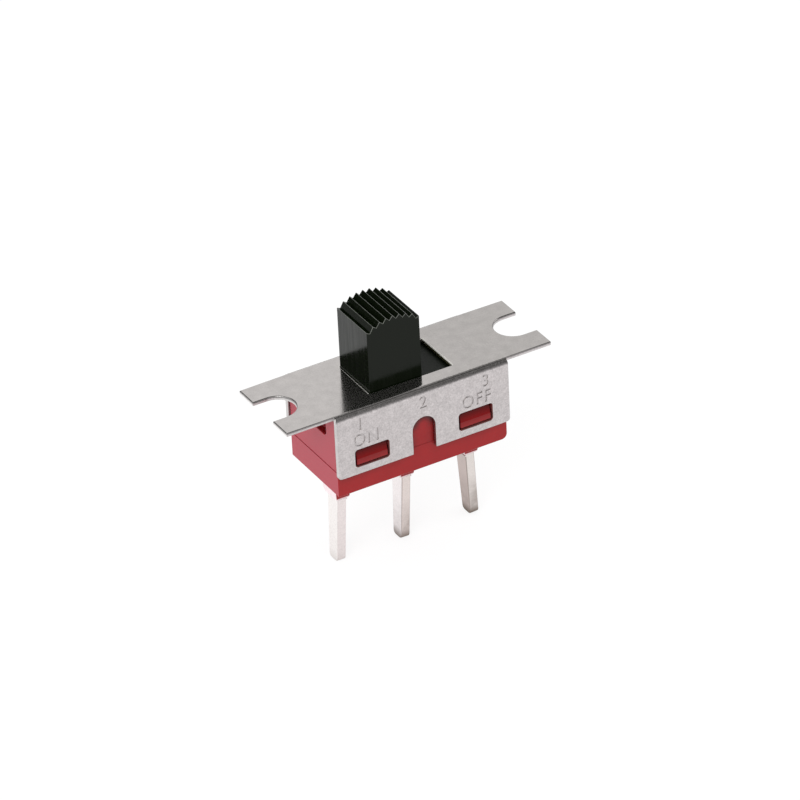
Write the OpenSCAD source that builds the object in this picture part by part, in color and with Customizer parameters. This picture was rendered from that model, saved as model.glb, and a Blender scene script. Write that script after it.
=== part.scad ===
// Single-pole slide switch: a ridged knob slides in a folded steel bracket and,
// through a sprung plunger, tips a see-saw contact from one end terminal to the other.
// Origin: middle of the bracket's upper face, which seats under the panel.
// +X runs along the bracket, +Y across it, +Z out of the panel. Millimetres.

/* [Bracket] */
// Length of the bracket, tip to tip
bracket_l = 19.8; // [18.6:0.1:24]
// Thickness of the bracket's sheet
sheet_t = 0.3; // [0.25:0.01:0.45]
// Outside radius of the two long bends
bend_r = 0.42; // [0.3:0.01:0.6]
// How far the side plates reach past each end of the case
side_over = 0.1; // [0:0.05:0.4]
// Depth of the side plates below the upper face
side_h = 4.73; // [4.6:0.01:5.2]
// Radius of the side plates' lower corners
side_corner_r = 0.25; // [0.1:0.05:0.4]
// Width of the tongue at each end
tongue_w = 6.2; // [6:0.02:6.6]
// Width of the open notch at each end
notch_w = 2.65; // [2:0.05:3.2]
// Distance from the bracket's tip to the centre of the notch's round end
notch_inset = 1; // [0.6:0.05:1.2]

/* [Windows in the side plates] */
// Length of each snap window
snap_l = 2.55; // [2:0.05:3]
// Distance of each snap window's middle from the centre line
snap_x = 3.88; // [3.4:0.02:4.4]
// Depth of the snap windows' middle below the upper face
snap_z = 3.55; // [3.4:0.01:3.7]
// Height of each snap window
snap_h = 1.3; // [1:0.05:1.5]
// Corner radius of the snap windows
snap_r = 0.2; // [0.05:0.05:0.4]
// Width of the slot in the middle of each side plate
slot_w = 1.7; // [1:0.05:2.4]
// Depth of the slot's round top below the upper face
slot_top = 2.14; // [1.6:0.02:2.6]

/* [Case] */
// Length of the case
case_l = 12.7; // [12.2:0.1:14]
// Width of the case
case_w = 6.16; // [5.9:0.02:7]
// Height of the case, without its stand-offs
case_h = 5.9; // [5.6:0.02:6.6]
// Gap between the case and the bracket
case_fit = 0.02; // [0.01:0.01:0.05]
// Thickness of the end walls
end_wall = 0.85; // [0.75:0.01:0.95]
// Thickness of the floor
floor_t = 0.94; // [0.7:0.02:1.1]
// Width of the chamber under the slider
chamber_w = 3.7; // [3.5:0.05:4]
// Radius of the lower edge at the right end
case_round = 0.4; // [0.1:0.05:0.6]
// Height of the moulding's parting line above the underside
parting_h = 1.79; // [1.5:0.01:2]
// Step in the faces at the parting line
parting_step = 0.03; // [0.01:0.01:0.05]
// Width of the blind recess at the top of each end wall
recess_w = 3.44; // [2:0.02:4]
// Height of that recess
recess_h = 1.89; // [1:0.01:2.5]
// Depth of that recess into the end wall
recess_d = 0.5; // [0.2:0.02:0.6]
// Corner radius of that recess
recess_r = 0.3; // [0.1:0.05:0.6]

/* [Snap lugs] */
// Gap between a lug and the edges of its window
lug_gap = 0.12; // [0.05:0.01:0.2]
// How far a lug's face lies under the sheet's outer face
lug_shy = 0.05; // [0.02:0.01:0.15]
// Height of the upright lower part of a lug's face
lug_flat = 0.45; // [0.2:0.05:0.7]

/* [Stand-offs] */
// Height of the stand-off round each terminal
standoff_h = 1.95; // [1:0.05:2.2]
// Wall of the stand-off at its lower end
standoff_wall = 0.06; // [0.05:0.01:0.1]
// Chamfer above the stand-off's lower end
standoff_chamfer = 0.1; // [0.05:0.01:0.15]
// Size along the case where a stand-off meets it
standoff_l = 1.5; // [1.4:0.05:2]
// Size across the case where a stand-off meets it
standoff_w = 2.2; // [2.2:0.05:3.6]

/* [Terminals] */
// Distance from an end terminal's centre to the end of the case
terminal_inset = 1.49; // [1.4:0.01:1.6]
// Thickness of a terminal's blade
blade_t = 0.66; // [0.5:0.02:0.8]
// Width of a blade in the case
blade_w = 1.3; // [1.1:0.02:1.6]
// Width of a blade at its tip
blade_tip_w = 1.06; // [0.8:0.02:1.2]
// Length of a blade below the case's underside
blade_l = 6.86; // [4:0.02:8]
// Radius of the tip's two corners
tip_r = 0.3; // [0.1:0.05:0.4]
// Outward lean of the left blade's tail, in degrees
left_lean = 2.5; // [0:0.5:4]
// Lean of the centre blade's tail towards the left, in degrees
centre_lean = 2.5; // [0:0.5:4]
// Outward lean of the right blade's tail, in degrees
right_lean = 3; // [0:0.5:4]
// Gap between a blade and the case
blade_fit = 0.01; // [0.005:0.005:0.03]
// Thickness of the contact tab on top of each end terminal
tab_t = 0.45; // [0.3:0.01:0.55]
// Length of that tab
tab_l = 1.5; // [1.4:0.02:1.6]
// Width of that tab
tab_w = 2; // [1.5:0.05:2.6]

/* [Knob] */
// Length of the knob
knob_l = 3.9; // [3.2:0.05:4.2]
// Width of the knob
knob_w = 3.86; // [3.2:0.02:4]
// Height of the knob's crown above the bracket's upper face
knob_top = 5.2; // [4:0.02:8]
// Radius of the crown, measured over the ridges
crown_r = 3.1; // [2.6:0.1:6]
// Number of ridges across the crown
ridges = 8; // [5:1:10]
// Depth of the grooves between the ridges
ridge_d = 0.28; // [0.1:0.02:0.34]
// How far the knob slides from one end to the other
travel = 2.24; // [1.8:0.02:2.3]
// Gap left between the knob and its window at each end of the travel
stop_gap = 0.02; // [0.01:0.01:0.05]
// Gap between the knob and the long sides of its window
knob_clear = 0.03; // [0.02:0.01:0.08]

/* [Slider base] */
// Thickness of the slider's base
base_t = 1.2; // [0.9:0.02:1.3]
// Width of the slider's base
base_w = 4.6; // [4.3:0.02:4.8]
// Gap between the base and the end walls at each end of the travel
base_end_gap = 0.08; // [0.04:0.01:0.12]
// Running gap between the base and what guides it
base_gap = 0.05; // [0.03:0.01:0.08]
// Radius of the hub that guides the plunger
hub_r = 1.3; // [1.1:0.02:1.5]
// Height of the hub under the base
hub_h = 1; // [0.6:0.02:1.1]

/* [Plunger and spring] */
// Radius of the plunger
plunger_r = 0.72; // [0.65:0.01:0.8]
// Running gap round the plunger
plunger_gap = 0.05; // [0.03:0.01:0.08]
// Length of the plunger without its spring peg
plunger_l = 2.2; // [2:0.05:2.5]
// Radius of the peg inside the spring
peg_r = 0.3; // [0.2:0.02:0.4]
// Height of that peg
peg_h = 0.5; // [0.3:0.05:0.8]
// Height of the plunger's tip above the contact arm
plunger_lift = 0.08; // [0.07:0.01:0.12]
// How far the spring pocket reaches above the bracket's upper face
pocket_top = 1.6; // [1:0.1:2.6]
// Thickness of the spring's wire
wire_d = 0.16; // [0.1:0.01:0.2]
// Radius of the spring to the middle of its wire
coil_r = 0.55; // [0.52:0.01:0.6]
// Number of coils
coils = 7; // [5:1:9]

/* [Contacts] */
// How far each fixed contact sits inside its terminal's centre line
contact_inset = 0.25; // [0.15:0.01:0.3]
// Radius of a fixed contact
pad_r = 0.65; // [0.5:0.01:0.7]
// Height of a fixed contact
pad_h = 0.2; // [0.12:0.01:0.24]
// Radius of a moving contact
button_r = 0.6; // [0.45:0.01:0.65]
// Height of a moving contact
button_h = 0.2; // [0.12:0.01:0.24]
// Gap left between the contacts that are closed
contact_gap = 0.02; // [0.01:0.01:0.04]
// Thickness of the see-saw strip
rocker_t = 0.3; // [0.2:0.01:0.36]
// Width of the see-saw strip
rocker_w = 2.5; // [2:0.02:2.56]
// Rise of each arm, and the angle that the strip tips either way, in degrees
tilt = 8; // [6:0.5:9]
// Length of each arm past its contact
arm_end = 0.05; // [0.02:0.01:0.1]
// Radius of the rib that the strip rocks on
pivot_r = 0.25; // [0.18:0.01:0.28]
// Running gap round that rib
pivot_gap = 0.03; // [0.02:0.01:0.06]
// Gap between the strip's underside and the top of its cradle
cradle_drop = 0.08; // [0.06:0.01:0.14]
// Thickness of the cradle's two ears
ear_t = 0.3; // [0.2:0.01:0.34]
// Height of the ears above the pivot
ear_h = 0.9; // [0.5:0.02:1]
// Gap between the strip and each ear
ear_gap = 0.08; // [0.04:0.01:0.1]

/* [Hidden] */
$fn = 48;

// A little extra length, so that cuts and joined pieces pass through each other
pass = 0.5;

// Bracket, worked out from what it holds
outer_w = case_w + 2 * case_fit + 2 * sheet_t;
flange_w = outer_w - 2 * bend_r;
side_l = case_l + 2 * side_over;
notch_x = bracket_l / 2 - notch_inset;
window_l = knob_l + travel + 2 * stop_gap;
window_w = knob_w + 2 * knob_clear;

// Case levels and the two steps of its cavity
case_top = -sheet_t - case_fit;
case_bottom = case_top - case_h;
floor_z = case_bottom + floor_t;
parting_z = case_bottom + parting_h;
cavity_l = case_l - 2 * end_wall;
guide_w = base_w + 2 * base_gap;

// Slider, drawn in the middle of its travel and then set at its left stop
rest_x = -travel / 2;
base_l = cavity_l - travel - 2 * base_end_gap;
base_top = case_top - base_gap;
base_bottom = base_top - base_t;
ledge_z = base_bottom - base_gap;
ridge_pitch = knob_l / ridges;

// Contacts, placed by the terminals and stacked up from the floor
terminal_pitch = case_l / 2 - terminal_inset;
contact_x = terminal_pitch - contact_inset;
tab_top = floor_z + tab_t;
pad_top = tab_top + pad_h;
pivot_z = pad_top + contact_gap + button_h;
arm_l = contact_x + button_r + arm_end;
cradle_top = pivot_z - cradle_drop;
ear_y = rocker_w / 2 + ear_gap;

// Plunger and spring, stacked up from the arm under them
plunger_tip = pivot_z + rocker_t + plunger_lift;
plunger_top = plunger_tip + plunger_l;
pocket_r = plunger_r + plunger_gap;
spring_play = 0.01;
spring_low = plunger_top + spring_play;
spring_high = pocket_top - spring_play;
dead_pitch = wire_d * 1.1;
ring_sides = 8;
rings_per_coil = 16;

// Terminal levels: a blade's tail starts just under its stand-off
standoff_z = case_bottom - standoff_h;
tip_z = case_bottom - blade_l;
bend_lap = blade_t / 8;
bend_z = standoff_z - 2 * bend_lap;

// A rectangle with round corners, centred
module round_rect(l, h, r) {
    square([l - 2 * r, h], center = true);
    square([l, h - 2 * r], center = true);
    for (x = [-1, 1], z = [-1, 1])
        translate([x * (l / 2 - r), z * (h / 2 - r)]) circle(r = r);
}

// Turns an outline drawn in X and Z into a slab of width w across the part
module across(w) {
    rotate([90, 0, 0]) linear_extrude(height = w, center = true) children();
}

// Turns an outline drawn in Y and Z into a slab of length l along the part
module along(l) {
    rotate([90, 0, 90]) linear_extrude(height = l, center = true) children();
}

module both_ends() {
    children();
    mirror([1, 0, 0]) children();
}

module both_sides() {
    children();
    mirror([0, 1, 0]) children();
}

// Bracket: one folded sheet, flat on top with two side plates
module channel_outline() {
    difference() {
        union() {
            translate([-outer_w / 2, -side_h]) square([outer_w, side_h - bend_r]);
            translate([-flange_w / 2, -side_h]) square([flange_w, side_h]);
            for (y = [-1, 1]) translate([y * flange_w / 2, -bend_r]) circle(r = bend_r);
        }
        translate([-case_w / 2 - case_fit, -side_h - pass])
            square([case_w + 2 * case_fit, side_h + pass - sheet_t]);
    }
}

module side_plate_cuts() {
    both_ends() {
        translate([snap_x, -snap_z]) round_rect(snap_l, snap_h, snap_r);
        translate([side_l / 2 - side_corner_r, -side_h]) difference() {
            translate([0, -pass]) square([side_corner_r + pass, side_corner_r + pass]);
            translate([0, side_corner_r]) circle(r = side_corner_r);
        }
    }
    translate([0, -slot_top - slot_w / 2]) circle(d = slot_w);
    translate([-slot_w / 2, -side_h - pass])
        square([slot_w, side_h + pass - slot_top - slot_w / 2]);
}

module tongue_outline() {
    tongue_l = (bracket_l - side_l) / 2;
    square([bracket_l, flange_w], center = true);
    both_ends() translate([side_l / 2, -tongue_w / 2]) square([tongue_l, tongue_w]);
}

module bracket() {
    color("silver") difference() {
        union() {
            along(side_l) channel_outline();
            translate([0, 0, -sheet_t]) linear_extrude(height = sheet_t) tongue_outline();
        }
        across(outer_w + 2 * pass) side_plate_cuts();
        translate([-window_l / 2, -window_w / 2, -sheet_t - pass])
            cube([window_l, window_w, sheet_t + 2 * pass]);
        both_ends() translate([notch_x, 0, -sheet_t - pass]) {
            cylinder(d = notch_w, h = sheet_t + 2 * pass);
            translate([0, -notch_w / 2, 0]) cube([notch_inset + pass, notch_w, sheet_t + 2 * pass]);
        }
    }
}

// Case: one moulding, open on top, with snap lugs and a stand-off round each terminal
module case_side_outline() {
    translate([-case_l / 2, case_bottom + case_round]) square([case_l, parting_h - case_round]);
    translate([-case_l / 2, case_bottom]) square([case_l - case_round, parting_h]);
    translate([case_l / 2 - case_round, case_bottom + case_round]) circle(r = case_round);
}

module lug_outline() {
    wall_y = case_w / 2 - parting_step;
    face_y = outer_w / 2 - lug_shy;
    lug_top = -snap_z + snap_h / 2 - lug_gap;
    lug_low = -snap_z - snap_h / 2 + lug_gap;
    polygon([
        [wall_y - parting_step, lug_top], [wall_y, lug_top], [face_y, lug_low + lug_flat],
        [face_y, lug_low], [wall_y - parting_step, lug_low]
    ]);
}

// Outline of a stand-off, seen from one side: narrow below, wide at the case,
// and carried on up into the floor at the same slope
module standoff_outline(low, high) {
    narrow = low / 2 + blade_fit + standoff_wall;
    shoulder = narrow + standoff_chamfer;
    rise = floor_t / 2;
    wide = high / 2 + rise * (high / 2 - shoulder) / (standoff_h - standoff_chamfer);
    polygon([
        [-wide, rise], [wide, rise], [shoulder, standoff_chamfer - standoff_h],
        [narrow, -standoff_h], [-narrow, -standoff_h],
        [-shoulder, standoff_chamfer - standoff_h]
    ]);
}

module standoff() {
    translate([0, 0, case_bottom]) intersection() {
        across(case_w) standoff_outline(blade_t, standoff_l);
        along(case_l) standoff_outline(blade_w, standoff_w);
    }
}

module case_cavity() {
    translate([-cavity_l / 2, -guide_w / 2, ledge_z]) cube([cavity_l, guide_w, case_h]);
    translate([-cavity_l / 2, -chamber_w / 2, floor_z]) cube([cavity_l, chamber_w, case_h]);
}

module end_recess() {
    recess_low = case_top - recess_h;
    translate([case_l / 2, 0, 0]) along(2 * recess_d) {
        translate([0, recess_low + recess_h]) round_rect(recess_w, 2 * recess_h, recess_r);
    }
}

module case() {
    inner_h = case_top - floor_z;
    color("firebrick") difference() {
        union() {
            across(case_w) case_side_outline();
            translate([0, 0, floor_z + inner_h / 2])
                cube([case_l - 2 * parting_step, case_w - 2 * parting_step, inner_h], center = true);
            both_sides() both_ends() translate([snap_x, 0, 0]) along(snap_l - 2 * lug_gap) lug_outline();
            for (i = [-1, 0, 1]) translate([i * terminal_pitch, 0, 0]) standoff();
        }
        case_cavity();
        both_ends() end_recess();
        for (i = [-1, 0, 1])
            translate([i * terminal_pitch, 0, (standoff_z + floor_z) / 2])
                cube([blade_t + 2 * blade_fit, blade_w + 2 * blade_fit, floor_z - standoff_z + 2 * pass],
                    center = true);
    }
}

// Terminals: flat blades whose width lies across the part
module tail_outline() {
    corner_y = blade_tip_w / 2 - tip_r;
    polygon(concat(
        [for (y = [blade_w / 2, -blade_w / 2]) [y, bend_z + bend_lap]],
        [[-blade_w / 2, bend_z - bend_lap]],
        [for (side = [-1, 1], a = [0:15:90])
            let (turn = 225 + 45 * side + a)
            [side * corner_y + tip_r * cos(turn), tip_z + tip_r + tip_r * sin(turn)]],
        [[blade_w / 2, bend_z - bend_lap]]
    ));
}

module blade(lean) {
    along(blade_t) translate([-blade_w / 2, bend_z]) square([blade_w, floor_z - bend_z]);
    translate([0, 0, bend_z]) rotate([0, -lean, 0]) translate([0, 0, -bend_z])
        along(blade_t) tail_outline();
}

module end_terminal(lean) {
    color("gainsboro") {
        translate([terminal_pitch, 0, 0]) blade(lean);
        translate([contact_x - tab_l / 2, -tab_w / 2, floor_z]) cube([tab_l, tab_w, tab_t]);
    }
}

module left_terminal() mirror([1, 0, 0]) end_terminal(left_lean);

module right_terminal() end_terminal(right_lean);

module centre_terminal() {
    cradle_w = 2 * (ear_y + ear_t);
    color("gainsboro") {
        blade(-centre_lean);
        difference() {
            translate([-blade_t / 2, -cradle_w / 2, floor_z])
                cube([blade_t, cradle_w, pivot_z + ear_h - floor_z]);
            translate([-blade_t, -ear_y, cradle_top]) cube([2 * blade_t, 2 * ear_y, 2 * ear_h]);
            translate([0, 0, pivot_z]) rotate([90, 0, 0])
                cylinder(r = pivot_r + pivot_gap, h = 2 * ear_y, center = true);
        }
    }
}

module fixed_contact() {
    color("whitesmoke") translate([contact_x, 0, tab_top]) cylinder(r = pad_r, h = pad_h);
}

module left_fixed_contact() mirror([1, 0, 0]) fixed_contact();

module right_fixed_contact() fixed_contact();

// Slider: ridged knob, base under the bracket and hub for the plunger, one moulding
function crest(x) = knob_top - crown_r + sqrt(crown_r * crown_r - x * x);

module knob_outline() {
    polygon(concat(
        [[knob_l / 2, base_bottom], [-knob_l / 2, base_bottom], [-knob_l / 2, crest(knob_l / 2)]],
        [for (i = [0:ridges - 1], half = [1, 2])
            let (x = (i + half / 2) * ridge_pitch - knob_l / 2)
            [x, half == 1 ? crest(x) - ridge_d : crest(x)]]
    ));
}

module slider() {
    color("#1c1d1b") translate([rest_x, 0, 0]) difference() {
        union() {
            across(knob_w) knob_outline();
            translate([-base_l / 2, -base_w / 2, base_bottom]) cube([base_l, base_w, base_t]);
            translate([0, 0, base_bottom - hub_h]) cylinder(r = hub_r, h = hub_h + base_t / 2);
        }
        translate([0, 0, base_bottom - hub_h - pass])
            cylinder(r = pocket_r, h = pocket_top - base_bottom + hub_h + pass);
    }
}

module plunger() {
    color("ivory") translate([rest_x, 0, 0]) {
        translate([0, 0, plunger_tip + plunger_r]) sphere(r = plunger_r);
        translate([0, 0, plunger_tip + plunger_r]) cylinder(r = plunger_r, h = plunger_l - plunger_r);
        translate([0, 0, plunger_top - pass]) cylinder(r = peg_r, h = peg_h + pass);
    }
}

// Height of the wire's middle after t coils: one closed coil at each end, open between
function coil_z(t) =
    let (low = spring_low + wire_d / 2, high = spring_high - wire_d / 2,
         open = (high - low - 2 * dead_pitch) / (coils - 2))
    t < 1 ? low + t * dead_pitch :
    t > coils - 1 ? high - (coils - t) * dead_pitch :
    low + dead_pitch + (t - 1) * open;

module plunger_spring() {
    last = coils * rings_per_coil;
    points = [for (i = [0:last], j = [0:ring_sides - 1])
        let (t = i / rings_per_coil, a = 360 * t, b = 360 * j / ring_sides,
             r = coil_r + wire_d / 2 * cos(b))
        [r * cos(a), r * sin(a), coil_z(t) + wire_d / 2 * sin(b)]];
    walls = [for (i = [0:last - 1], j = [0:ring_sides - 1])
        let (k = (j + 1) % ring_sides, p = i * ring_sides, q = p + ring_sides)
        [p + j, p + k, q + k, q + j]];
    ends = [
        [for (j = [0:ring_sides - 1]) ring_sides - 1 - j],
        [for (j = [0:ring_sides - 1]) last * ring_sides + j]
    ];
    color("lightsteelblue") translate([rest_x, 0, 0]) polyhedron(points, concat(walls, ends));
}

// See-saw: at rest its left arm lies level on the left contact and its right arm is up
module left_arm() {
    translate([0, 0, pivot_z]) children();
}

module right_arm() {
    translate([0, 0, pivot_z]) rotate([0, -2 * tilt, 0]) mirror([1, 0, 0]) children();
}

module arm_strip() {
    translate([-arm_l, -rocker_w / 2, 0]) cube([arm_l, rocker_w, rocker_t]);
}

module rocker() {
    color("goldenrod") {
        left_arm() arm_strip();
        right_arm() arm_strip();
        translate([0, 0, pivot_z]) rotate([90, 0, 0])
            cylinder(r = pivot_r, h = rocker_w, center = true);
    }
}

module moving_contact() {
    color("whitesmoke") translate([-contact_x, 0, -button_h]) cylinder(r = button_r, h = button_h);
}

module left_moving_contact() left_arm() moving_contact();

module right_moving_contact() right_arm() moving_contact();

bracket();
case();
left_terminal();
centre_terminal();
right_terminal();
left_fixed_contact();
right_fixed_contact();
slider();
plunger();
plunger_spring();
rocker();
left_moving_contact();
right_moving_contact();
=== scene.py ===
import math

import bpy
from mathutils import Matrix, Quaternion, Vector


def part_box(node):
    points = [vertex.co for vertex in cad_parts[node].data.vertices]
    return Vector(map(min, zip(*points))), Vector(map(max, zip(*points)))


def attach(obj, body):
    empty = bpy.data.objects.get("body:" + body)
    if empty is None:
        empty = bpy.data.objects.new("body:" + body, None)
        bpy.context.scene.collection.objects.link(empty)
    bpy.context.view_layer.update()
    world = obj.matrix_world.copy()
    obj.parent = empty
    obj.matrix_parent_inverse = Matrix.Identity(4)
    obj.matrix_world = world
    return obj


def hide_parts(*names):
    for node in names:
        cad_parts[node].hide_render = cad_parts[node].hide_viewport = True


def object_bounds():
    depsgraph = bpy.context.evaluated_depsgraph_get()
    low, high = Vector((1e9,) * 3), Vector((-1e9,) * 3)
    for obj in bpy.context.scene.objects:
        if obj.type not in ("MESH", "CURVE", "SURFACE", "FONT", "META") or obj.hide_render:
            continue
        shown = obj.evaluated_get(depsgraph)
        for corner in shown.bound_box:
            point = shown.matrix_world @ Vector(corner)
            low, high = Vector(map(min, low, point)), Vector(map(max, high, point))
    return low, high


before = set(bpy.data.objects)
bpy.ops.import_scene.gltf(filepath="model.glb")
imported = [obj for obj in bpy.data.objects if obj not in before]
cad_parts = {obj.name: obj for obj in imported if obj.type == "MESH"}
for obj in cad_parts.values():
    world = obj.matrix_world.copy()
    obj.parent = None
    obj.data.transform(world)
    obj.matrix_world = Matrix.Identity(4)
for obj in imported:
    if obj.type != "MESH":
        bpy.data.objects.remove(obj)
cadLow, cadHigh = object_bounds()
mm = 0.001
tiny = 0.01 * mm                # places closer than this count as one
noiseRange = (0.3, 0.7)         # where nearly all of a noise's values lie
print("frame loaded:", len(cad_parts), "nodes")


# small helpers for selecting and shaping

def selectOnly(piece):
    bpy.ops.object.select_all(action="DESELECT")
    piece.select_set(True)
    bpy.context.view_layer.objects.active = piece


def addObject(name, data):
    thing = bpy.data.objects.new(name, data)
    bpy.context.scene.collection.objects.link(thing)
    return thing


def applyModifier(piece, modifier):
    selectOnly(piece)
    bpy.ops.object.modifier_apply(modifier=modifier.name)


def mergeCloseVertices(piece, distance=0.001 * mm):
    selectOnly(piece)
    bpy.ops.object.mode_set(mode="EDIT")
    bpy.ops.mesh.select_all(action="SELECT")
    bpy.ops.mesh.remove_doubles(threshold=distance)
    bpy.ops.object.mode_set(mode="OBJECT")


def copyOfNode(nodeName, pieceName, flatAngle=0.5):
    # a copy of the frame's own mesh, with its loose triangles joined into whole faces
    piece = addObject(pieceName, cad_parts[nodeName].data.copy())
    piece.data.materials.clear()
    mergeCloseVertices(piece, 0.002 * mm)
    bpy.ops.object.mode_set(mode="EDIT")
    bpy.ops.mesh.dissolve_limited(angle_limit=math.radians(flatAngle))
    bpy.ops.object.mode_set(mode="OBJECT")
    return piece


def softenEdges(piece, width, segments=3, sharpAngle=30, shareAt=None, slotOfEdges=-1):
    # shareAt gives the share of the width that an edge gets, from the places of its two ends
    selectOnly(piece)
    bpy.ops.object.mode_set(mode="EDIT")
    bpy.ops.mesh.select_mode(type="EDGE")
    bpy.ops.mesh.select_all(action="DESELECT")
    bpy.ops.mesh.edges_select_sharp(sharpness=math.radians(sharpAngle))
    bpy.ops.object.mode_set(mode="OBJECT")
    corners = piece.data.vertices
    weights = piece.data.attributes.new("bevel_weight_edge", "FLOAT", "EDGE")
    for edge in piece.data.edges:
        if edge.select:
            ends = [corners[i].co for i in edge.vertices]
            weights.data[edge.index].value = shareAt(*ends) if shareAt else 1
    bevel = piece.modifiers.new("softEdges", "BEVEL")
    bevel.width = width
    bevel.segments = segments
    bevel.limit_method = "WEIGHT"
    bevel.miter_outer = "MITER_ARC"
    bevel.use_clamp_overlap = False
    bevel.material = slotOfEdges
    applyModifier(piece, bevel)
    mergeCloseVertices(piece)


def planeOf(face):
    # rounded, so that all faces of one flat get the same plane
    return tuple(round(part, 2) for part in (*face.normal, face.normal.dot(face.center) / mm))


def smoothFaces(piece, angle=40):
    # large flats keep their own normal, and the rounded strips between them blend into them
    selectOnly(piece)
    bpy.ops.object.shade_smooth_by_angle(angle=math.radians(angle))
    mesh = piece.data
    nearEnough = math.cos(math.radians(angle))
    planes = [planeOf(face) for face in mesh.polygons]
    planeAreas = {}
    for face, plane in zip(mesh.polygons, planes):
        planeAreas[plane] = planeAreas.get(plane, 0) + face.area / (mm * mm)
    around = [{} for vertex in mesh.vertices]
    for face, plane in zip(mesh.polygons, planes):
        for i in face.vertices:
            around[i][plane] = (face.normal.copy(), planeAreas[plane] ** 2)
    normals = []
    for face in mesh.polygons:
        for i in face.vertices:
            blended = Vector((0, 0, 0))
            for normal, weight in around[i].values():
                if normal.dot(face.normal) > nearEnough:
                    blended += normal * weight
            normals.append(blended.normalized() if blended.length > 0 else face.normal.copy())
    mesh.normals_split_custom_set(normals)


def splitIntoTriangles(piece):
    applyModifier(piece, piece.modifiers.new("triangles", "TRIANGULATE"))


def cutWith(piece, cutter):
    cut = piece.modifiers.new("cut", "BOOLEAN")
    cut.operation = "DIFFERENCE"
    cut.solver = "MANIFOLD"
    cut.object = cutter
    applyModifier(piece, cut)
    bpy.data.objects.remove(cutter)


def finishPiece(piece, material, body, nodeName):
    if material not in list(piece.data.materials):
        piece.data.materials.append(material)
    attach(piece, body)
    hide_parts(nodeName)
    print("piece done:", piece.name, len(piece.data.polygons), "faces")


# small helpers for materials

def feed(tree, node, sources):
    # each input takes another node's output or a plain value
    for name, source in sources.items():
        if isinstance(source, bpy.types.NodeSocket):
            tree.links.new(source, node.inputs[name])
        else:
            node.inputs[name].default_value = source


def addNode(tree, kind, sources=(), **settings):
    node = tree.nodes.new("ShaderNode" + kind)
    for name, value in settings.items():
        setattr(node, name, value)
    feed(tree, node, dict(sources))
    return node


def calculate(tree, operation, *sources):
    return addNode(tree, "Math", dict(enumerate(sources)), operation=operation).outputs["Value"]


def product(tree, first, *others):
    for other in others:
        first = calculate(tree, "MULTIPLY", first, other)
    return first


def strongest(tree, first, *others):
    for other in others:
        first = calculate(tree, "MAXIMUM", first, other)
    return first


def ramp(tree, source, low, high, none=0.0, full=1.0):
    # gives none where the source is at low and full where it is at high, and stays so beyond
    sources = {"Value": source, "From Min": low, "From Max": high, "To Min": none, "To Max": full}
    return addNode(tree, "MapRange", sources).outputs["Result"]


def grade(tree, share, none, full):
    return ramp(tree, share, 0.0, 1.0, none, full)


def opposite(tree, share):
    return grade(tree, share, 1.0, 0.0)


def between(tree, source, low, high, fade):
    return product(tree, ramp(tree, source, high + fade, high), ramp(tree, source, low - fade, low))


def blendColours(tree, share, first, second, blend="MIX"):
    mix = addNode(tree, "Mix", data_type="RGBA", blend_type=blend)
    feed(tree, mix, {0: share, 6: first, 7: second})
    return mix.outputs[2]


def blendValues(tree, share, first, second):
    mix = addNode(tree, "Mix", data_type="FLOAT")
    feed(tree, mix, {0: share, 2: first, 3: second})
    return mix.outputs[0]


def scaleColour(tree, colour, level):
    return addNode(tree, "VectorMath", {0: colour, "Scale": level}, operation="SCALE").outputs["Vector"]


def partsOf(tree, vector):
    return addNode(tree, "SeparateXYZ", {"Vector": vector}).outputs


def unsigned(tree, number):
    # both sides of a piece then count alike
    return calculate(tree, "ABSOLUTE", number)


def addBump(tree, height, strength, depth):
    bump = addNode(tree, "Bump", {"Distance": depth, "Strength": strength, "Height": height})
    return bump.outputs["Normal"]


def newMaterial(name, values):
    material = bpy.data.materials.new(name)
    material.use_nodes = True
    tree = material.node_tree
    shader = tree.nodes["Principled BSDF"]
    feed(tree, shader, values)
    return material, tree, shader


def newGroup(name, inputs, outputs):
    group = bpy.data.node_groups.new(name, "ShaderNodeTree")
    for label, kind, value in inputs:
        socket = group.interface.new_socket(name=label, in_out="INPUT", socket_type=kind)
        if value is not None:
            socket.default_value = value
    for label, kind in outputs:
        group.interface.new_socket(name=label, in_out="OUTPUT", socket_type=kind)
    return group, group.nodes.new("NodeGroupInput"), group.nodes.new("NodeGroupOutput")


# effects that several materials share

def makeGrainGroup():
    # fine speckle with a broad cloudiness over it, both from 0 to 1
    group, inputs, outputs = newGroup(
        "fineGrain",
        [("Vector", "NodeSocketVector", None), ("Size", "NodeSocketFloat", 10000.0),
         ("Cloud Size", "NodeSocketFloat", 1200.0)],
        [("Speckle", "NodeSocketFloat"), ("Cloud", "NodeSocketFloat")])
    given = inputs.outputs
    speckle = addNode(group, "TexNoise", {"Vector": given["Vector"], "Scale": given["Size"],
                                          "Detail": 3.0, "Roughness": 0.6})
    cloud = addNode(group, "TexNoise", {"Vector": given["Vector"], "Scale": given["Cloud Size"],
                                        "Detail": 4.0, "Roughness": 0.55})
    feed(group, outputs, {"Speckle": speckle.outputs["Fac"], "Cloud": cloud.outputs["Fac"]})
    return group


fineGrain = makeGrainGroup()
print("shared effects ready")


def addGrain(tree, place, size, cloudSize):
    sources = {"Vector": place, "Size": size, "Cloud Size": cloudSize}
    return addNode(tree, "Group", sources, node_tree=fineGrain).outputs


# bracket: folded bright steel sheet

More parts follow.
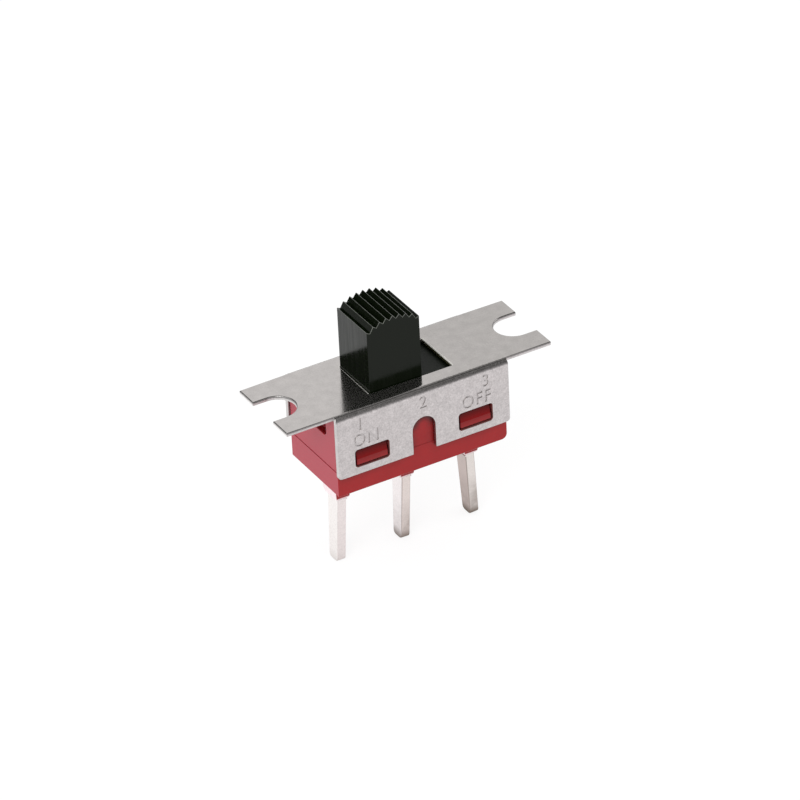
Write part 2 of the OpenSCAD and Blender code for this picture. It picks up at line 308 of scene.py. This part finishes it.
bracketLook = {
    "edgeRadius": 0.045 * mm,
    "punchRadius": 0.09 * mm,
    "bendRadius": 0.42 * mm,
    "plateEnd": 6.45 * mm,
    "stepDepth": 0.05 * mm,
    "fade": 0.02 * mm,                # how softly one finish goes over into the next
    "topColour": (0.51, 0.485, 0.472, 1),
    # painted shade on the upper face past the slot
    "shadedFarTopColour": (0.435, 0.414, 0.400, 1),
    "farTopRange": (-2 * mm, 4 * mm),
    "sideColour": (0.565, 0.530, 0.530, 1),
    "cutColour": (0.93, 0.90, 0.89, 1),
    # painted highlight on the burr of the slot's rims, and painted shade on the slot's walls
    "burrHighlightColour": (0.82, 0.80, 0.75, 1),
    "slotWallShadeColour": (0.05, 0.05, 0.022, 1),
    # painted reflection of the red lugs on the walls of the snap windows
    "windowWallReflectionColour": (0.24, 0.07, 0.065, 1),
    "windowStart": 2.605 * mm,
    "windowEnd": 5.155 * mm,
    "windowTop": -2.90 * mm,
    "windowFoot": -4.20 * mm,
    "slotHalfWidth": 2.1 * mm,
    "burrDepth": 0.075 * mm,
    # painted shade on the rolled upper rim of the tongues
    "rimShadeLevel": 0.42,
    "rimDepth": 0.13 * mm,
    "plateEndLevel": 0.74,
    "notchLevel": 0.72,
    "notchHalf": 1.36 * mm,
    # share of the normal at which each finish starts, and at which it is full
    "sideFacing": (0.75, 0.97),
    "cutFacing": (0.35, 0.75),
    "slotFacing": (0.10, 0.30),
    "windowFacing": (0.80, 0.50),
    "rimFacing": (0.97, 0.85),
    "bumpFacing": (0.10, 0.30),
    # painted reflections round the bend, as a brightness for each way a face turns
    "bendReflectionBands": [                    # forward share of the normal, brightness
        (0.10, 1.0), (0.31, 0.60), (0.45, 0.28), (0.54, 0.40), (0.63, 0.95), (0.73, 0.88),
        (0.82, 0.47), (0.88, 0.28), (0.945, 0.37), (0.985, 0.70), (1.0, 1.0)],
    "grainSize": 9000.0,
    "cloudSize": 1500.0,
    "cloudLevels": (0.93, 1.06),
    "grainLevels": (0.70, 1.30),
    "topGrain": 0.2,
    "sideGrain": 0.55,
    "metal": 0.97,
    "wallMetal": 0.15,
    "topRoughness": 0.11,
    "sideRoughness": 0.36,
    "speckleRoughness": 0.07,
    "bumpDepth": 0.01 * mm,
    "bumpStrengths": (0.05, 0.35),    # off the side plates and bends, and on them
    "stampDepth": 0.05 * mm,
    "stampLevel": 0.90,
    "stampBoldness": 0.008,
    "stampSpacing": 1.15,
    "stampNarrowing": 0.88,
    "stampSteps": 4,                  # straight pieces in each curve of a letter
    "stampsBelow": (-0.50 * mm, -0.55 * mm),
    "stamps": [                       # words, height, x and z of the middle
        ("ON", 0.95 * mm, -4.3 * mm, -2.22 * mm),
        ("OFF", 0.95 * mm, 3.95 * mm, -2.22 * mm),
        ("1", 0.90 * mm, -4.7 * mm, -1.04 * mm),
        ("2", 0.90 * mm, 0, -1.04 * mm),
        ("3", 0.90 * mm, 4.7 * mm, -1.04 * mm),
    ],
}


def makeStamp(words, height, x, z, faceY):
    # letters as a solid that reaches into the plate by the stamp's depth
    look = bracketLook
    halfThick = 0.1             # this and the next in the letters' own units, before they are scaled
    closeBy = 0.0005
    bpy.ops.object.select_all(action="DESELECT")
    bpy.ops.object.text_add(location=(0, 0, 0))
    letters = bpy.context.object.data
    letters.body = words
    letters.align_x = "CENTER"
    letters.align_y = "CENTER"
    letters.offset = look["stampBoldness"]
    letters.space_character = look["stampSpacing"]
    letters.extrude = halfThick
    letters.resolution_u = look["stampSteps"]
    bpy.ops.object.convert(target="MESH")
    stamp = bpy.context.object
    mergeCloseVertices(stamp, closeBy)
    bpy.ops.object.mode_set(mode="EDIT")
    bpy.ops.mesh.normals_make_consistent(inside=False)
    bpy.ops.object.mode_set(mode="OBJECT")
    size = height / stamp.dimensions.y
    stamp.scale = (size * look["stampNarrowing"], size, look["stampDepth"] / halfThick)
    stamp.rotation_euler = (math.pi / 2, 0, 0)
    stamp.location = (x, faceY, z)
    bpy.ops.object.transform_apply(location=True, rotation=True, scale=True)
    return stamp


def joinPieces(pieces):
    bpy.ops.object.select_all(action="DESELECT")
    for piece in pieces:
        piece.select_set(True)
    bpy.context.view_layer.objects.active = pieces[0]
    bpy.ops.object.join()
    return bpy.context.object


def addBendReflectionBands(tree, forward):
    tones = addNode(tree, "ValToRGB", {"Fac": forward})
    stops = bracketLook["bendReflectionBands"]
    while len(tones.color_ramp.elements) < len(stops):
        tones.color_ramp.elements.new(0.5)
    for stop, (position, level) in zip(tones.color_ramp.elements, stops):
        stop.position = position
        stop.color = (level, level, level, 1)
    return tones.outputs["Color"]


def makeBracketMaterial():
    look = bracketLook
    fade = look["fade"]
    plateEnd = look["plateEnd"]
    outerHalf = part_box("bracket")[1].y
    flangeHalf = outerHalf - look["bendRadius"]
    material, tree, shader = newMaterial("brightSteel", {"Metallic": 1.0})
    coordinates = addNode(tree, "TexCoord").outputs
    grain = addGrain(tree, coordinates["Object"], look["grainSize"], look["cloudSize"])
    place = partsOf(tree, coordinates["Object"])
    facing = partsOf(tree, coordinates["Normal"])
    lengthways = unsigned(tree, place["X"])
    outward = unsigned(tree, place["Y"])
    endways = unsigned(tree, facing["X"])
    sideways = unsigned(tree, facing["Y"])
    onSide = ramp(tree, sideways, *look["sideFacing"])
    pastPlate = ramp(tree, lengthways, plateEnd + 0.5 * fade, plateEnd + 2.5 * fade)
    onPlate = opposite(tree, pastPlate)

    # the sheared ends of the sheet, a little darker in the notches and at the side plates
    atEnd = ramp(tree, lengthways, plateEnd - 2 * fade, plateEnd - fade)
    onCut = product(tree, ramp(tree, endways, *look["cutFacing"]), atEnd)
    endLevel = blendValues(tree, pastPlate, look["plateEndLevel"], 1.0)
    notchLevel = ramp(tree, outward, look["notchHalf"] + 2 * fade, look["notchHalf"], 1.0,
                      look["notchLevel"])
    cutColour = scaleColour(tree, look["cutColour"][:3], product(tree, endLevel, notchLevel))

    # the slot for the knob: a burr along its two short rims, painted as a pale highlight, and walls under
    # it painted near black as shade
    inSlot = product(tree, ramp(tree, endways, *look["slotFacing"]),
                     ramp(tree, outward, look["slotHalfWidth"] + fade, look["slotHalfWidth"]),
                     opposite(tree, atEnd))
    onBurrHighlight = ramp(tree, place["Z"], -look["burrDepth"] - 0.5 * fade, -look["burrDepth"] + 0.5 * fade)
    slotColour = blendColours(tree, onBurrHighlight, look["slotWallShadeColour"], look["burrHighlightColour"])

    # painted reflection: the steel walls of the snap windows are painted the red of the lugs
    inWindow = product(tree, between(tree, lengthways, look["windowStart"], look["windowEnd"], fade),
                       between(tree, place["Z"], look["windowFoot"], look["windowTop"], 2 * fade),
                       ramp(tree, sideways, *look["windowFacing"]))

    # painted reflections: light and dark bands round the bend, set by which way each face turns, on the
    # front corner of the sheet only
    onBend = product(tree, ramp(tree, outward, flangeHalf - fade, flangeHalf + fade),
                     ramp(tree, place["Z"], -look["bendRadius"] - 3 * fade, -look["bendRadius"] + fade),
                     onPlate)
    bendReflectionBands = addBendReflectionBands(tree, calculate(tree, "MULTIPLY", facing["Y"], -1.0))

    # painted shade: the rolled upper rim of the tongues is darker than the bright cut below it, as it
    # reflects less light
    onRim = product(tree, ramp(tree, facing["Z"], *look["rimFacing"]),
                    ramp(tree, place["Z"], -look["rimDepth"] - 1.5 * fade, -look["rimDepth"] + fade),
                    pastPlate)

    # painted shade: the upper face is a little darker past the slot, as it is lit less there
    colour = blendColours(tree, ramp(tree, place["X"], *look["farTopRange"]), look["topColour"],
                          look["shadedFarTopColour"])
    colour = blendColours(tree, onSide, colour, look["sideColour"])
    colour = blendColours(tree, onCut, colour, cutColour)
    colour = blendColours(tree, inSlot, colour, slotColour)
    colour = blendColours(tree, inWindow, colour, look["windowWallReflectionColour"])
    colour = blendColours(tree, onBend, colour, bendReflectionBands, "MULTIPLY")

    # coarse grain, mostly on the side plates and round the bend, and darker stamped letters
    grainShare = strongest(tree, grade(tree, onSide, look["topGrain"], look["sideGrain"]), onBend)
    grainLevel = blendValues(tree, grainShare, 1.0,
                             ramp(tree, grain["Speckle"], *noiseRange, *look["grainLevels"]))
    letterLevel = ramp(tree, outward, outerHalf - 0.75 * fade, outerHalf - 1.5 * fade, 1.0,
                       look["stampLevel"])
    stampLevel = blendValues(tree, ramp(tree, place["Z"], *look["stampsBelow"]), 1.0, letterLevel)
    level = product(tree, ramp(tree, grain["Cloud"], *noiseRange, *look["cloudLevels"]), grainLevel,
                    stampLevel, grade(tree, onRim, 1.0, look["rimShadeLevel"]))

    roughness = grade(tree, strongest(tree, onSide, onCut), look["topRoughness"], look["sideRoughness"])
    bumpStrength = grade(tree, ramp(tree, sideways, *look["bumpFacing"]), *look["bumpStrengths"])
    feed(tree, shader, {
        "Base Color": scaleColour(tree, colour, level),
        "Metallic": grade(tree, strongest(tree, inSlot, inWindow), look["metal"], look["wallMetal"]),
        "Roughness": calculate(tree, "MULTIPLY_ADD", grain["Speckle"], look["speckleRoughness"], roughness),
        "Normal": addBump(tree, grain["Speckle"], bumpStrength, look["bumpDepth"]),
    })
    return material


def punchedEdgeShare(start, end):
    # the punch draws the upper face down along its outline, so those edges are rounder,
    # and the tiny step where a tongue meets the bends stays as it is
    look = bracketLook
    lowest = min(start.z, end.z)
    atPlateEnd = all(abs(abs(place.x) - look["plateEnd"]) < tiny for place in (start, end))
    if atPlateEnd and lowest > -look["stepDepth"]:
        return 0
    return 1 if lowest > -tiny else look["edgeRadius"] / look["punchRadius"]


def makeBracket():
    look = bracketLook
    bracket = copyOfNode("bracket", "bracket_sheet")
    softenEdges(bracket, look["punchRadius"], segments=4, shareAt=punchedEdgeShare)
    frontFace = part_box("bracket")[0].y
    splitIntoTriangles(bracket)
    cutWith(bracket, joinPieces([makeStamp(*stamp, frontFace) for stamp in look["stamps"]]))
    smoothFaces(bracket)
    bracket.data.materials.clear()
    finishPiece(bracket, makeBracketMaterial(), "housing", "bracket")


makeBracket()


# case: one glossy red moulding

caseLook = {
    "edgeRadius": 0.06 * mm,
    "partingEdgeShare": 0.15,
    "colour": (0.310, 0.002, 0.004, 1),
    "deepColour": (0.275, 0.001, 0.003, 1),
    "cloudRange": (0.35, 0.7),
    # painted light: the lighter red of the end faces
    "endColour": (0.41, 0.020, 0.044, 1),
    "endFacing": (0.6, 0.95),
    # painted highlight on the slopes and ends of the stand-offs
    "glareColour": (1.0, 0.84, 0.87, 1),
    "slopeFacing": (-0.45, -0.65),
    "floorLevel": -6.22 * mm,
    "floorFade": 0.10 * mm,
    "standoffEnd": -8.0 * mm,
    "standoffFade": 0.03 * mm,
    "standoffGlare": 0.85,
    # painted shade on the lugs under the sheet's edge
    "lugShadeColour": (0.09, 0.001, 0.001, 1),
    "lugLow": -3.9 * mm,
    "lugTop": -3.1 * mm,
    "lugShares": (0.35, 1.0),
    "lugFlatTop": -3.63 * mm,
    "lugStand": 0.02 * mm,
    "wallHalf": 3.07 * mm,
    "partingLevel": -4.43 * mm,
    "skirtFade": (0.05 * mm, 0.10 * mm),        # above the parting line
    "cornerReach": 0.7 * mm,
    "cornerOpenness": (0.25, 0.95),
    "cornerShadeLevels": (0.35, 1.0),
    "archMiddle": (0.15 * mm, 0, -2.99 * mm),
    "archRadius": 0.62 * mm,
    "archWidth": 0.40 * mm,
    "archEdge": (0.35 * mm, 0.32 * mm),         # past the radius, where the shade ends
    "archHeights": (-0.3 * mm, 0.2 * mm),       # from the middle, where the shade starts
    "archShade": 0.66,
    "specular": 0.38,
    "lugSpecular": 0.14,
    "roughness": (0.25, 0.38),
    "grainSize": 14000.0,
    "cloudSize": 900.0,
    "bumpDepth": 0.004 * mm,
    "bumpStrength": 0.25,
}


def caseEdgeShare(start, end):
    # the fine step at the parting line stays crisp
    look = caseLook
    atParting = all(abs(place.z - look["partingLevel"]) < tiny for place in (start, end))
    return look["partingEdgeShare"] if atParting else 1


def addArchShade(tree, place, height):
    # the wall is darker just under the round top of the bracket's slot
    look = caseLook
    radius = look["archRadius"]
    middleZ = look["archMiddle"][2]
    flat = addNode(tree, "VectorMath", {0: place, 1: (1, 0, 1)}, operation="MULTIPLY")
    reach = addNode(tree, "VectorMath", {0: flat.outputs["Vector"], 1: look["archMiddle"]},
                    operation="DISTANCE").outputs["Value"]
    nearArch = ramp(tree, reach, radius - look["archWidth"], radius, 0.0, look["archShade"])
    insideArch = ramp(tree, reach, *(radius + edge for edge in look["archEdge"]))
    high = ramp(tree, height, *(middleZ + offset for offset in look["archHeights"]))
    return calculate(tree, "SUBTRACT", 1.0, product(tree, nearArch, insideArch, high))


def makeCaseMaterial(name, specular):
    look = caseLook
    material, tree, shader = newMaterial(name, {"Specular IOR Level": specular})
    coordinates = addNode(tree, "TexCoord").outputs
    grain = addGrain(tree, coordinates["Object"], look["grainSize"], look["cloudSize"])
    place = partsOf(tree, coordinates["Object"])
    facing = partsOf(tree, coordinates["Normal"])
    colour = blendColours(tree, ramp(tree, grain["Cloud"], *look["cloudRange"]), look["colour"],
                          look["deepColour"])
    # painted light: the end faces get a lighter, pinker red than the front, as they catch more light
    onEnd = ramp(tree, unsigned(tree, facing["X"]), *look["endFacing"])
    colour = blendColours(tree, onEnd, colour, look["endColour"])

    # painted shade: the lugs get darker towards the top of their windows, under the sheet's edge
    proud = ramp(tree, unsigned(tree, place["Y"]), look["wallHalf"], look["wallHalf"] + look["lugStand"])
    aboveSkirt = ramp(tree, place["Z"], *(look["partingLevel"] + offset for offset in look["skirtFade"]))
    lugHigh = ramp(tree, place["Z"], look["lugLow"], look["lugTop"], *look["lugShares"])
    colour = blendColours(tree, product(tree, proud, aboveSkirt, lugHigh), colour, look["lugShadeColour"])

    # painted highlight: the left slopes and the ends of the stand-offs are painted pale pink, where they
    # catch the light of the floor
    onSlope = product(tree, ramp(tree, facing["X"], *look["slopeFacing"]),
                      ramp(tree, place["Z"], look["floorLevel"], look["floorLevel"] - look["floorFade"]))
    onTip = ramp(tree, place["Z"], look["standoffEnd"] + look["standoffFade"],
                 look["standoffEnd"] - look["standoffFade"], 0.0, look["standoffGlare"])
    colour = blendColours(tree, strongest(tree, onSlope, onTip), colour, look["glareColour"])

    # painted shade: the red is darkened in corners and recesses, by how open each place is
    corners = addNode(tree, "AmbientOcclusion", {"Distance": look["cornerReach"]}, samples=8)
    cornerShadeLevel = ramp(tree, corners.outputs["AO"], *look["cornerOpenness"], *look["cornerShadeLevels"])
    archLevel = addArchShade(tree, coordinates["Object"], place["Z"])
    feed(tree, shader, {
        "Base Color": scaleColour(tree, colour, product(tree, cornerShadeLevel, archLevel)),
        "Roughness": grade(tree, grain["Speckle"], *look["roughness"]),
        "Normal": addBump(tree, grain["Speckle"], look["bumpStrength"], look["bumpDepth"]),
    })
    return material


def makeCase():
    look = caseLook
    case = copyOfNode("case", "case_moulding")
    red = makeCaseMaterial("redMoulding", look["specular"])
    case.data.materials.append(red)
    case.data.materials.append(makeCaseMaterial("shadedLug", look["lugSpecular"]))
    softenEdges(case, look["edgeRadius"], shareAt=caseEdgeShare)
    for face in case.data.polygons:
        proud = abs(face.center.y) > look["wallHalf"] + tiny
        face.material_index = int(proud and face.center.z > look["lugFlatTop"])
    smoothFaces(case)
    finishPiece(case, red, "housing", "case")


makeCase()


# slider: glossy black moulding with a ridged crown

sliderLook = {
    "edgeRadius": 0.03 * mm,
    "knobTop": 5.2 * mm,
    "crownRadius": 3.1 * mm,
    "crownLow": 4.38 * mm,
    "crestDepth": 0.05 * mm,
    "colour": (0.0021, 0.0040, 0.0011, 1),
    "specular": 0.16,
    "roughness": (0.11, 0.23),
    "baseTop": -0.25 * mm,
    "baseSpecular": 0.11,
    "baseRoughness": (0.32, 0.44),
    "streaks": 0.22,
    "streakSize": 7000.0,
    "streakStretch": (1, 1, 0.02),
    "streakRange": (0.38, 0.64),
    "streakFacing": (0.8, 0.97),
    "coatRoughness": 0.2,
    "grainSize": 12000.0,
    "cloudSize": 1500.0,
    "bumpDepth": 0.004 * mm,
    "bumpStrength": 0.10,
    # painted highlight on the crests of the ridges
    "crestHighlightColour": (0.10, 0.108, 0.092, 1),
    "crestLevels": (0.55, 1.35),
    "crestRoughness": 0.45,
    "crestGrainSize": 9000.0,
    "crestCloudSize": 2500.0,
}


def makeSliderMaterial(name, specular, roughness):
    look = sliderLook
    material, tree, shader = newMaterial(name, {"Base Color": look["colour"],
                                                "Specular IOR Level": specular,
                                                "Coat Roughness": look["coatRoughness"]})
    coordinates = addNode(tree, "TexCoord").outputs
    grain = addGrain(tree, coordinates["Object"], look["grainSize"], look["cloudSize"])
    facing = partsOf(tree, coordinates["Normal"])
    # fine upright lines left by the mould, seen on the two ends of the knob
    stretched = addNode(tree, "Mapping", {"Vector": coordinates["Object"], "Scale": look["streakStretch"]})
    drawn = addNode(tree, "TexNoise", {"Vector": stretched.outputs["Vector"],
                                       "Scale": look["streakSize"], "Detail": 3.0}).outputs["Fac"]
    onEnd = ramp(tree, unsigned(tree, facing["X"]), *look["streakFacing"], 0.0, look["streaks"])
    feed(tree, shader, {
        "Coat Weight": product(tree, ramp(tree, drawn, *look["streakRange"]), onEnd),
        "Roughness": ramp(tree, drawn, *noiseRange, *roughness),
        "Normal": addBump(tree, grain["Speckle"], look["bumpStrength"], look["bumpDepth"]),
    })
    return material


def makeCrestMaterial():
    # painted highlight: the crests of the ridges are painted a mottled dull grey, where the light catches
    # them
    look = sliderLook
    material, tree, shader = newMaterial("paintedCrestHighlight", {"Roughness": look["crestRoughness"]})
    place = addNode(tree, "TexCoord").outputs["Object"]
    grain = addGrain(tree, place, look["crestGrainSize"], look["crestCloudSize"])
    crestMottle = ramp(tree, grain["Cloud"], *noiseRange, *look["crestLevels"])
    feed(tree, shader, {"Base Color": scaleColour(tree, look["crestHighlightColour"][:3], crestMottle)})
    return material


def sliderEdgeShare(start, end):
    # the grooves between the ridges stay sharp
    look = sliderLook
    if min(start.z, end.z) < look["crownLow"]:
        return 1
    low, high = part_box("slider")
    middle = (low.x + high.x) / 2
    radius = look["crownRadius"]
    for place in (start, end):
        crest = look["knobTop"] - radius + math.sqrt(radius ** 2 - (place.x - middle) ** 2)
        if place.z > crest - look["crestDepth"]:
            return 1
    return 0


def makeSlider():
    look = sliderLook
    slider = copyOfNode("slider", "slider_knob")
    black = makeSliderMaterial("blackMoulding", look["specular"], look["roughness"])
    dullBlack = makeSliderMaterial("blackBase", look["baseSpecular"], look["baseRoughness"])
    for material in (black, makeCrestMaterial(), dullBlack):
        slider.data.materials.append(material)
    # the rounded edges take the painted grey highlight of the crests
    softenEdges(slider, look["edgeRadius"], segments=2, sharpAngle=25, shareAt=sliderEdgeShare,
                slotOfEdges=1)
    for face in slider.data.polygons:
        if face.center.z < look["baseTop"]:
            face.material_index = 2
        elif face.center.z < look["crownLow"]:
            face.material_index = 0
    smoothFaces(slider)
    finishPiece(slider, black, "slider", "slider")


makeSlider()


# terminals: tinned blades, browner towards their tips

terminalLook = {
    "edgeRadius": 0.07 * mm,
    "roughness": (0.30, 0.48),
    "grainSize": 8000.0,
    "cloudSize": 1600.0,
    "tinLevels": (0.92, 1.05),
    "bumpDepth": 0.008 * mm,
    "bumpStrength": 0.35,
    "endFacing": (0.55, 0.9),
    "stainColour": (0.125, 0.085, 0.062, 1),
    "stainHeight": 3.2 * mm,
    "stainPatches": (0.35, 0.7),
    "patchShares": (0.45, 1.0),
    "stainHalfWidth": 0.3 * mm,
    "sideShares": (0.5, 1.0),         # on the left of a blade, and on the right
    "cornerFacing": (0.12, 0.40),
    "cornerDarkening": 0.55,
    "tipFacing": (-0.10, -0.55),
    "tipDarkening": 0.9,
    "tipHeight": 1.05 * mm,
    "tipFull": 0.15 * mm,
    # painted light: each blade's front and end tin is set as that face is lit, over the real difference in
    # finish between its faces
    "blades": {                       # front tin, end tin, stain
        "left_terminal": ((0.84, 0.77, 0.76, 1), (0.97, 0.93, 0.91, 1), 0.22),
        "centre_terminal": ((0.76, 0.68, 0.65, 1), (0.95, 0.90, 0.90, 1), 0.85),
        "right_terminal": ((0.76, 0.71, 0.68, 1), (0.60, 0.51, 0.48, 1), 0.95),
    },
}


def makeTerminalMaterial(nodeName):
    look = terminalLook
    frontLitTin, endLitTin, stain = look["blades"][nodeName]
    low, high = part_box(nodeName)
    middle = (low.x + high.x) / 2
    material, tree, shader = newMaterial("tin_" + nodeName, {"Metallic": 1.0})
    coordinates = addNode(tree, "TexCoord").outputs
    grain = addGrain(tree, coordinates["Object"], look["grainSize"], look["cloudSize"])
    place = partsOf(tree, coordinates["Object"])
    facing = partsOf(tree, coordinates["Normal"])
    # painted light: front and end faces get their own tin, lighter or darker as each blade is lit
    onEnd = ramp(tree, unsigned(tree, facing["X"]), *look["endFacing"])
    tin = blendColours(tree, onEnd, frontLitTin, endLitTin)

    # brown in patches towards the tip, and more so on the right of a blade
    nearTip = ramp(tree, place["Z"], low.z + look["stainHeight"], low.z)
    patches = ramp(tree, grain["Cloud"], *look["stainPatches"], *look["patchShares"])
    onRight = ramp(tree, place["X"], middle - look["stainHalfWidth"], middle + look["stainHalfWidth"],
                   *look["sideShares"])
    # darker lines along the upright corners, and on the downward faces of the cut tip
    crossing = unsigned(tree, calculate(tree, "MULTIPLY", facing["X"], facing["Y"]))
    onCorner = ramp(tree, crossing, *look["cornerFacing"], 0.0, look["cornerDarkening"])
    underTip = ramp(tree, facing["Z"], *look["tipFacing"], 0.0, look["tipDarkening"])
    brownTip = ramp(tree, place["Z"], low.z + look["tipHeight"], low.z + look["tipFull"])
    dark = strongest(tree, onCorner, underTip, product(tree, nearTip, patches, onRight), brownTip)
    colour = blendColours(tree, calculate(tree, "MULTIPLY", dark, stain), tin, look["stainColour"])
    level = ramp(tree, grain["Speckle"], *noiseRange, *look["tinLevels"])
    feed(tree, shader, {
        "Base Color": scaleColour(tree, colour, level),
        "Roughness": grade(tree, grain["Speckle"], *look["roughness"]),
        "Normal": addBump(tree, grain["Speckle"], look["bumpStrength"], look["bumpDepth"]),
    })
    return material


for nodeName in terminalLook["blades"]:
    blade = copyOfNode(nodeName, nodeName + "_blade")
    softenEdges(blade, terminalLook["edgeRadius"])
    smoothFaces(blade)
    finishPiece(blade, makeTerminalMaterial(nodeName), "housing", nodeName)


# pieces inside the case keep their own mesh and get a real finish

silver = ((0.82, 0.80, 0.77, 1), 1.0, (0.22, 0.38))     # colour, metal, roughness

insideLook = {
    "grainSize": 10000.0,
    "cloudSize": 1800.0,
    "cloudLevels": (0.88, 1.05),
    "bumpDepth": 0.004 * mm,
    "bumpStrength": 0.2,
    "finishes": {
        "left_fixed_contact": silver,
        "right_fixed_contact": silver,
        "left_moving_contact": silver,
        "right_moving_contact": silver,
        "rocker": ((0.62, 0.43, 0.18, 1), 1.0, (0.24, 0.40)),
        "plunger": ((0.68, 0.64, 0.55, 1), 0.0, (0.32, 0.48)),
        "plunger_spring": ((0.50, 0.50, 0.50, 1), 1.0, (0.19, 0.35)),
    },
}


def makeInsideMaterial(name, colour, metallic, roughness):
    look = insideLook
    material, tree, shader = newMaterial(name + "_finish", {"Metallic": metallic})
    place = addNode(tree, "TexCoord").outputs["Object"]
    grain = addGrain(tree, place, look["grainSize"], look["cloudSize"])
    level = ramp(tree, grain["Cloud"], *noiseRange, *look["cloudLevels"])
    feed(tree, shader, {
        "Base Color": scaleColour(tree, colour[:3], level),
        "Roughness": grade(tree, grain["Speckle"], *roughness),
        "Normal": addBump(tree, grain["Speckle"], look["bumpStrength"], look["bumpDepth"]),
    })
    return material


for nodeName, finish in insideLook["finishes"].items():
    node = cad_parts[nodeName]
    node.data.materials.clear()
    node.data.materials.append(makeInsideMaterial(nodeName, *finish))
print("inside pieces finished")


# studio: floor, cards, lamps, world and camera

studio = {
    "floorHalf": 1.2,
    "floorColour": (0.80, 0.80, 0.80, 1),
    "floorShadowColour": (0.20, 0.20, 0.20, 1),
    "floorGlow": 0.82,
    "worldLevel": 0.85,
    "cards": [                        # name, middle, half sizes, level
        ("backCard", (-0.204, 0.370, 0.268), (0.16, 0.22), 0.05),
        ("crownCard", (-0.31, 0.36, 0.135), (0.16, 0.09), 0.05),
        ("roofCard", (0.183, -0.189, 0.365), (0.15, 0.73), 0.22),
    ],
    "lamps": [                        # name, direction from the middle, distance, size, brightness
        ("keyLamp", (-0.62, -0.50, 0.60), 0.55, 0.28, 4.6),
        ("sideLamp", (0.90, -0.25, 0.36), 0.60, 0.30, 2.3),
    ],
}

cameraSetup = {
    "azimuth": -28.79,
    "elevation": 32.38,
    "roll": -2.87,
    "distance": 386.46 * mm,
    "moveRight": 0.27 * mm,
    "moveUp": -2.224 * mm,
    "lens": 268.4,
    "clip": (0.01, 10),
}


def addPlane(name, size, place):
    bpy.ops.object.select_all(action="DESELECT")
    bpy.ops.mesh.primitive_plane_add(size=size, location=place)
    plane = bpy.context.object
    plane.name = name
    return plane


def turnTo(thing, turn):
    thing.rotation_mode = "QUATERNION"
    thing.rotation_quaternion = turn


def seenDirectly(tree):
    # 1 for what the camera sees, also by way of metal and glass
    rays = addNode(tree, "LightPath").outputs
    return strongest(tree, rays["Is Camera Ray"], rays["Is Glossy Ray"], rays["Is Transmission Ray"])


def makeFloor():
    floor = addPlane("floor", 2 * studio["floorHalf"], (0, 0, cadLow.z))
    material = bpy.data.materials.new("paleFloor")
    material.use_nodes = True
    tree = material.node_tree
    tree.nodes.clear()
    plain = addNode(tree, "BsdfDiffuse", {"Color": studio["floorColour"]})
    shadowed = addNode(tree, "BsdfDiffuse", {"Color": studio["floorShadowColour"]})
    glow = addNode(tree, "Emission", {"Strength": studio["floorGlow"]})
    shown = addNode(tree, "AddShader", {0: shadowed.outputs["BSDF"], 1: glow.outputs["Emission"]})
    choice = addNode(tree, "MixShader", {"Fac": seenDirectly(tree), 1: plain.outputs["BSDF"],
                                         2: shown.outputs["Shader"]})
    addNode(tree, "OutputMaterial", {"Surface": choice.outputs["Shader"]})
    floor.data.materials.append(material)


def makeCards():
    # painted reflections: dark cards that glow faintly at their level and show only in reflections, casting
    # no shadow and lighting no diffuse face
    for name, middle, half, level in studio["cards"]:
        card = addPlane(name, 2, middle)      # two wide, so that its scale is its half size
        card.scale = (half[0], half[1], 1)
        turnTo(card, Vector(middle).to_track_quat("Z", "Y"))
        material = newMaterial(name, {"Base Color": (0, 0, 0, 1), "Roughness": 1.0,
                                      "Specular IOR Level": 0.0, "Emission Strength": 1.0,
                                      "Emission Color": (level, level, level, 1)})[0]
        card.data.materials.append(material)
        card.visible_camera = False
        card.visible_diffuse = False
        card.visible_shadow = False


def makeLamps():
    for name, direction, distance, size, brightness in studio["lamps"]:
        toward = Vector(direction).normalized()
        lampData = bpy.data.lights.new(name, "AREA")
        lampData.size = size
        lampData.energy = brightness * math.pi * size * size
        lamp = addObject(name, lampData)
        lamp.location = toward * distance
        turnTo(lamp, toward.to_track_quat("Z", "Y"))


def makeWorld():
    world = bpy.data.worlds.new("paleRoom")
    bpy.context.scene.world = world
    world.use_nodes = True
    tree = world.node_tree
    level = grade(tree, seenDirectly(tree), studio["worldLevel"], 1.0)
    feed(tree, tree.nodes["Background"], {"Color": (1, 1, 1, 1), "Strength": level})


def makeCamera():
    setup = cameraSetup
    azimuth = math.radians(setup["azimuth"])
    elevation = math.radians(setup["elevation"])
    back = Vector((math.sin(azimuth) * math.cos(elevation),
                   -math.cos(azimuth) * math.cos(elevation),
                   math.sin(elevation)))
    turn = back.to_track_quat("Z", "Y") @ Quaternion((0, 0, 1), math.radians(setup["roll"]))
    cameraData = bpy.data.cameras.new("camera")
    cameraData.lens = setup["lens"]
    cameraData.clip_start, cameraData.clip_end = setup["clip"]
    camera = addObject("camera", cameraData)
    turnTo(camera, turn)
    camera.location = turn @ Vector((setup["moveRight"], setup["moveUp"], setup["distance"]))
    bpy.context.scene.camera = camera


makeFloor()
makeCards()
makeLamps()
makeWorld()
makeCamera()
bpy.context.scene.view_settings.view_transform = "Standard"
print("studio ready")
